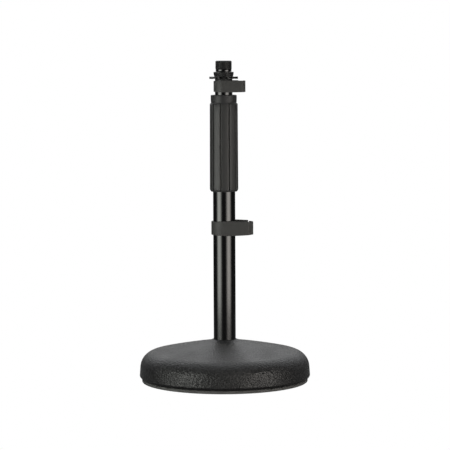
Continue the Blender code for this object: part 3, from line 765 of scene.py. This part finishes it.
def build_star_washer(black):
    """External-tooth lock washer, each tooth twisted about its own radius, edges rounded."""
    low, high, tip_r = extent("star_washer")
    tip_r = (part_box("star_washer")[1].y / MM + tip_r) / 2
    middle = low + STAR_TWIST
    pitch = math.tau / STAR_TEETH
    bm = bmesh.new()
    rows = (("bore", BOLT_R + GAP, 0.54, 0.0), ("root", STAR_ROOT_R, 0.54, 0.0),
            ("waist", STAR_ROOT_R + STAR_WAIST, 0.46, 0.45), ("tip", tip_r, 0.39, 1.0))
    grid = {}
    for label, radius, width, lean in rows:
        for i in range(STAR_TEETH):
            for column in range(5):
                across = column / 4 - 0.5
                angle = pitch * (i + 0.5 + across * width)
                z = middle - 2 * across * STAR_TWIST * lean
                for level, lift in (("low", 0.0), ("high", STAR_THICKNESS)):
                    grid[label, level, i, column] = bm.verts.new(on_circle(radius, z + lift, angle))
    for i in range(STAR_TEETH):
        following = (i + 1) % STAR_TEETH
        for level in ("low", "high"):
            for near, far in (("bore", "root"), ("root", "waist"), ("waist", "tip")):
                for column in range(4):
                    bm.faces.new([grid[near, level, i, column], grid[far, level, i, column],
                                  grid[far, level, i, column + 1], grid[near, level, i, column + 1]])
            bm.faces.new([grid["bore", level, i, 4], grid["root", level, i, 4],
                          grid["root", level, following, 0], grid["bore", level, following, 0]])
        rim = [("root", following, 0), ("root", i, 4)]
        edge = [("waist", i, 4)] + [("tip", i, column) for column in (4, 3, 2, 1, 0)]
        path = rim + edge + [("waist", i, 0), ("root", i, 0)]
        bore = [("bore", i, column) for column in range(5)] + [("bore", following, 0)]
        for line in (path, bore):
            for (a, p, c), (b, q, d) in zip(line, line[1:]):
                bm.faces.new([grid[a, "low", p, c], grid[b, "low", q, d], grid[b, "high", q, d],
                              grid[a, "high", p, c]])
    obj = piece("star_washer_body", bm, black, "inner_column", "star_washer", 25.0)
    round_edges(obj, 0.12, 2, 40)


# Cable clips


def round_edges(obj, width, segments, angle):
    """Rounds the edges sharper than an angle in degrees."""
    modifier = obj.modifiers.new("rounded_edges", "BEVEL")
    modifier.width = width * MM
    modifier.segments = segments
    modifier.limit_method = "ANGLE"
    modifier.angle_limit = math.radians(angle)
    modifier.use_clamp_overlap = False
    modifier.harden_normals = True


def inset(outline, distance):
    """Moves each point of a closed anticlockwise outline inwards, square to the lines it joins."""
    moved = []
    for before, here, after in zip(outline[-1:] + outline[:-1], outline, outline[1:] + outline[:1]):
        here = Vector(here)
        first = (here - Vector(before)).normalized()
        second = (Vector(after) - here).normalized()
        normals = Vector((-first.y, first.x)), Vector((-second.y, second.x))
        shift = (normals[0] + normals[1]) / (1 + normals[0].dot(normals[1]))
        moved.append(tuple(here + shift * distance))
    return moved


def build_clip(name, node, clip, material, body):
    """Plan of a C round the tube, a straight arm to a hooked lip and a finger behind, extruded.

    The upper and lower edges sag a little towards the ring's far side and the arm's end.
    """
    low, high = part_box(node)
    bottom, top, reach = low.z / MM, high.z / MM, high.x / MM
    outer = high.y / MM
    wall, chamfer, finger, hook = clip["wall"], clip["chamfer"], clip["finger"], clip["hook"]
    bore = outer - wall
    tip = wall / 2
    inner_chamfer = chamfer - wall * (2 - math.sqrt(2))
    nub_x = bore * math.cos(CLIP_GRIP_ANGLE)
    nub_y = bore * math.sin(CLIP_GRIP_ANGLE)
    nub_end = nub_x + CLIP_NUB_LENGTH
    inner_x = reach - wall
    inner_start = reach - chamfer - 3.0
    arm_end = reach - chamfer
    arm_lean = CLIP_ARM_LEAN * arm_end
    lip, lip_tip = clip["lip"], tip * CLIP_TIP_SHARE
    shares = [i / CLIP_ARM_POINTS for i in range(1, CLIP_ARM_POINTS)]
    outline = arc((0, 0), outer, math.pi / 2, 3 * math.pi / 2, 64)
    outline += [(arm_end * share, arm_lean * share ** 1.3 - outer) for share in shares]
    outline += filleted([(arm_end * 0.8, arm_lean * 0.75 - outer, 0),
                         (arm_end, arm_lean - outer, CLIP_CORNER_R),
                         (reach, chamfer - outer, CLIP_CORNER_R), (reach, hook, tip),
                         (lip, hook, lip_tip), (lip, hook - wall, lip_tip),
                         (inner_x, hook - wall, CLIP_HOOK_CORNER_R),
                         (inner_x, inner_chamfer - bore, CLIP_INNER_CORNER_R),
                         (inner_x - inner_chamfer, -bore, CLIP_INNER_CORNER_R),
                         (nub_end, -bore, 0)], 8)[1:-1]
    outline += [(nub_end + (inner_start - nub_end) * (1 - share), -bore) for share in shares]
    outline += [(nub_end, -bore), (nub_x + 0.6, -nub_y - 0.5)]
    outline += arc((0, 0), bore, -CLIP_GRIP_ANGLE, -math.tau + CLIP_GRIP_ANGLE, 64)
    outline += [(nub_x + 0.6, nub_y + 0.5), (nub_end, bore)]
    outline += arc((finger - tip, outer - tip), tip, -math.pi / 2, math.pi / 2, 10)
    outline += [(finger * (1 - share), outer) for share in shares]

    def sag(x):
        if x < CLIP_SAG_X:
            return clip["ring_sag"] * ((CLIP_SAG_X - x) / (CLIP_SAG_X + outer)) ** 2
        return clip["arm_sag"] * ((x - CLIP_SAG_X) / (reach - CLIP_SAG_X)) ** 2

    bm = bmesh.new()
    lower, upper = [], []
    for step in range(CLIP_EDGE_STEPS + 1):
        angle = math.pi / 2 * step / CLIP_EDGE_STEPS
        depth = clip["edge"] * (1 - math.sin(angle))
        loop = inset(outline, clip["edge"] * (1 - math.cos(angle)))
        lower.append([bm.verts.new((x, y, bottom + sag(x) + depth)) for x, y in loop])
        upper.append([bm.verts.new((x, y, top - sag(x) - depth)) for x, y in loop])
    skin(bm, lower[::-1] + upper)
    for corners in tessellate_polygon([[Vector((x, y, 0)) for x, y in loop]]):
        for ring in (lower[-1], upper[-1]):
            bm.faces.new([ring[corner] for corner in corners])
    piece(name, bm, material, body, node, 30.0)


# Studio


def look_at(obj, target):
    obj.rotation_euler = (Vector(target) - obj.location).to_track_quat("-Z", "Y").to_euler()


def add_camera():
    """In front of the stand, a little above its top."""
    data = bpy.data.cameras.new("camera")
    data.lens = CAMERA_LENS
    data.sensor_width = 36.0
    camera = bpy.data.objects.new("camera", data)
    bpy.context.scene.collection.objects.link(camera)
    camera.location = (0.0, -CAMERA_DISTANCE, CAMERA_HEIGHT)
    look_at(camera, AIM)
    camera.rotation_euler.rotate_axis("Z", CAMERA_ROLL)
    bpy.context.scene.camera = camera


def eased(share):
    """Smooth step up to 1."""
    share = min(1.0, share)
    return share * share * (3 - 2 * share)


def panel(name, start, end, low, high, distance, strength, tint, softness, top_fade):
    """Glowing curved sheet round the stand between two azimuths (0 is towards the camera).

    It fades out over the softness share of each side. With a top_fade share it also fades out at
    its top, and is dimmer towards its bottom.
    """
    columns, rows = 24, 16
    bm = bmesh.new()
    glow = bm.verts.layers.float.new("glow")
    grid = []
    for row in range(rows + 1):
        elevation = low + (high - low) * row / rows
        line = []
        for column in range(columns + 1):
            across = column / columns
            azimuth = start + (end - start) * across
            vert = bm.verts.new((distance * math.sin(azimuth), -distance * math.cos(azimuth),
                                 STAND_MIDDLE_Z + distance * math.tan(elevation)))
            vert[glow] = eased(min(across, 1 - across) / softness)
            if top_fade:
                upward = row / rows
                foot = (1 - BACKDROP_FOOT_GLOW) * eased(upward / BACKDROP_FOOT_RISE)
                vert[glow] *= eased((1 - upward) / top_fade) * (BACKDROP_FOOT_GLOW + foot)
            line.append(vert)
        grid.append(line)
    for lower, upper in zip(grid, grid[1:]):
        for i in range(columns):
            bm.faces.new([lower[i], lower[i + 1], upper[i + 1], upper[i]])
    glowing(name, bm, strength, tint)


def glowing(name, bm, strength, tint):
    """Makes a mesh with a glow attribute into a light that only the stand sees."""
    mesh = bpy.data.meshes.new(name)
    bm.to_mesh(mesh)
    bm.free()
    material = bpy.data.materials.new(name)
    material.use_nodes = True
    tree = material.node_tree
    tree.nodes.clear()
    power = combined(tree, "MULTIPLY", attribute(tree, "glow"), strength)
    emission = add_node(tree, "ShaderNodeEmission", inputs={
        "Color": (*tint, 1.0), "Strength": power})
    output = add_node(tree, "ShaderNodeOutputMaterial")
    tree.links.new(emission.outputs["Emission"], output.inputs["Surface"])
    mesh.materials.append(material)
    obj = bpy.data.objects.new(name, mesh)
    bpy.context.scene.collection.objects.link(obj)
    obj.visible_camera = False
    obj.visible_shadow = False


def add_ceiling():
    """Round overhead light that fades out towards its rim."""
    bm = bmesh.new()
    glow = bm.verts.layers.float.new("glow")
    angles = [math.tau * i / 48 for i in range(48)]
    rings = []
    for step in range(1, 9):
        share = step / 8
        ring = ring_of(bm, angles, lambda angle: CEILING_RADIUS * share, 0)
        for vert in ring:
            vert.co += Vector(CEILING_CENTRE)
            vert[glow] = eased((1 - share) / CEILING_FADE)
        rings.append(ring)
    skin(bm, rings)
    bm.faces.new(rings[0])
    glowing("ceiling", bm, CEILING_STRENGTH, SKY_TINT)


def add_floor():
    """White table top: shows pure white, and reflects softly into the stand."""
    bm = bmesh.new()
    bmesh.ops.create_circle(bm, cap_ends=True, radius=FLOOR_RADIUS, segments=96)
    mesh = bpy.data.meshes.new("floor")
    bm.to_mesh(mesh)
    bm.free()
    floor = bpy.data.objects.new("floor", mesh)
    bpy.context.scene.collection.objects.link(floor)
    material, tree, shader = new_material("floor_white")
    shader.inputs["Base Color"].default_value = (FLOOR_GREY, FLOOR_GREY, FLOOR_GREY, 1.0)
    shader.inputs["Roughness"].default_value = 0.3
    light_path = add_node(tree, "ShaderNodeLightPath")
    white = add_node(tree, "ShaderNodeEmission", inputs={"Color": (1, 1, 1, 1), "Strength": 1.0})
    mix = add_node(tree, "ShaderNodeMixShader", inputs={
        0: light_path.outputs["Is Camera Ray"], 1: shader.outputs["BSDF"],
        2: white.outputs["Emission"]})
    tree.links.new(mix.outputs["Shader"], tree.nodes["Material Output"].inputs["Surface"])
    mesh.materials.append(material)


def add_world():
    """White behind everything for the camera, dim all round for the stand's reflections."""
    world = bpy.data.worlds.new("world")
    bpy.context.scene.world = world
    world.use_nodes = True
    tree = world.node_tree
    background = tree.nodes["Background"]
    light_path = add_node(tree, "ShaderNodeLightPath")
    strength = add_node(tree, "ShaderNodeMapRange", inputs={
        "Value": light_path.outputs["Is Camera Ray"], "To Min": WORLD_DIM, "To Max": 1.0})
    background.inputs["Color"].default_value = (1, 1, 1, 1)
    tree.links.new(strength.outputs["Result"], background.inputs["Strength"])
    bpy.context.scene.view_settings.view_transform = "Standard"


def build_studio():
    """Soft box on each side, backdrop behind, light overhead, floor and world."""
    for name, box in (("left_soft_box", LEFT_BOX), ("right_soft_box", RIGHT_BOX)):
        panel(name, box["start"], box["end"], BOX_LOW, BOX_HIGH, BOX_DISTANCE,
              box["strength"], box["tint"], BOX_SOFTNESS, 0.0)
    panel("backdrop", math.pi - BACKDROP_HALF_WIDTH, math.pi + BACKDROP_HALF_WIDTH,
          BACKDROP_LOW, BACKDROP_HIGH, BOX_DISTANCE,
          BACKDROP_STRENGTH, SKY_TINT, BACKDROP_SOFTNESS, BACKDROP_TOP_FADE)
    add_ceiling()
    add_floor()
    add_world()


def main():
    add_camera()
    build_studio()
    coat = textured_coat()
    rubber = foot_rubber()
    tube_paint = gloss_black("gloss_black_tube")
    inner_paint = gloss_black("gloss_black_inner_tube", polished=(0.0, INNER_DULL_Z), dullness=0.5)
    stud_paint = gloss_black("black_stud", (0.06, 0.12), STUD_WEAR, (FLANGE_TOP, THREAD_START), 0.42)
    zinc = zinc_plate()
    white_nylon = nylon()
    cap_plastic = moulded_plastic("grip_plastic", CAP_DARK, CAP_LIGHT, 0.48, 0.4, 0.03)
    clip_plastic = moulded_plastic("clip_plastic", CLIP_DARK, CLIP_LIGHT, 0.54, 0.45, 0.04)
    build_base(coat, rubber, zinc)
    build_tube("outer_tube_body", "outer_tube", OUTER_WALL, tube_paint, "stand")
    build_tube("inner_tube_body", "inner_tube", INNER_WALL, inner_paint, "inner_column")
    build_sleeve(grip_rubber())
    build_core(cap_plastic)
    build_stud(stud_paint)
    build_star_washer(black_oxide())
    build_clip("lower_clip_body", "lower_cable_clip", LOWER_CLIP, clip_plastic, "lower_clip")
    build_clip("upper_clip_body", "upper_cable_clip", UPPER_CLIP, clip_plastic, "upper_clip")
    inner_pieces = {zinc: ("spring_washer", "foot_plug", "stud_bush"),
                    white_nylon: ("clutch_bushing", "collet", "thrust_ring", "guide_ring", "end_plug")}
    for material, nodes in inner_pieces.items():
        for node in nodes:
            for material_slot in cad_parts[node].material_slots:
                material_slot.material = material


main()
